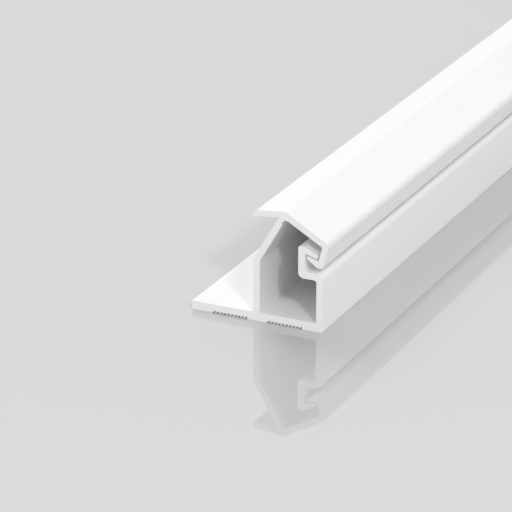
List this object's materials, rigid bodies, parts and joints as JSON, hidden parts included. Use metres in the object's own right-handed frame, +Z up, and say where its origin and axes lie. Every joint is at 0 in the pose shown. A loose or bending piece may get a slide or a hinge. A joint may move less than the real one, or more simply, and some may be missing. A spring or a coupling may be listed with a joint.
{
  "type": "snap-close trim profile",
  "caption": "Hollow extruded trim with a flat glue-on base, a leaning web and a hinged cap that hooks under a barb.",
  "frame": {"origin": "middle of the underside of the base, halfway along the length", "axes": "+Y along the stock, +Z up from the underside of the base, +X from the open flange side towards the snap side"},
  "size_m": [0.0325, 1, 0.0264],
  "materials": {
    "upvc": "satin"
  },
  "bodies": {
    "root": {"t_profile": "upvc"}
  },
  "joints": []
}
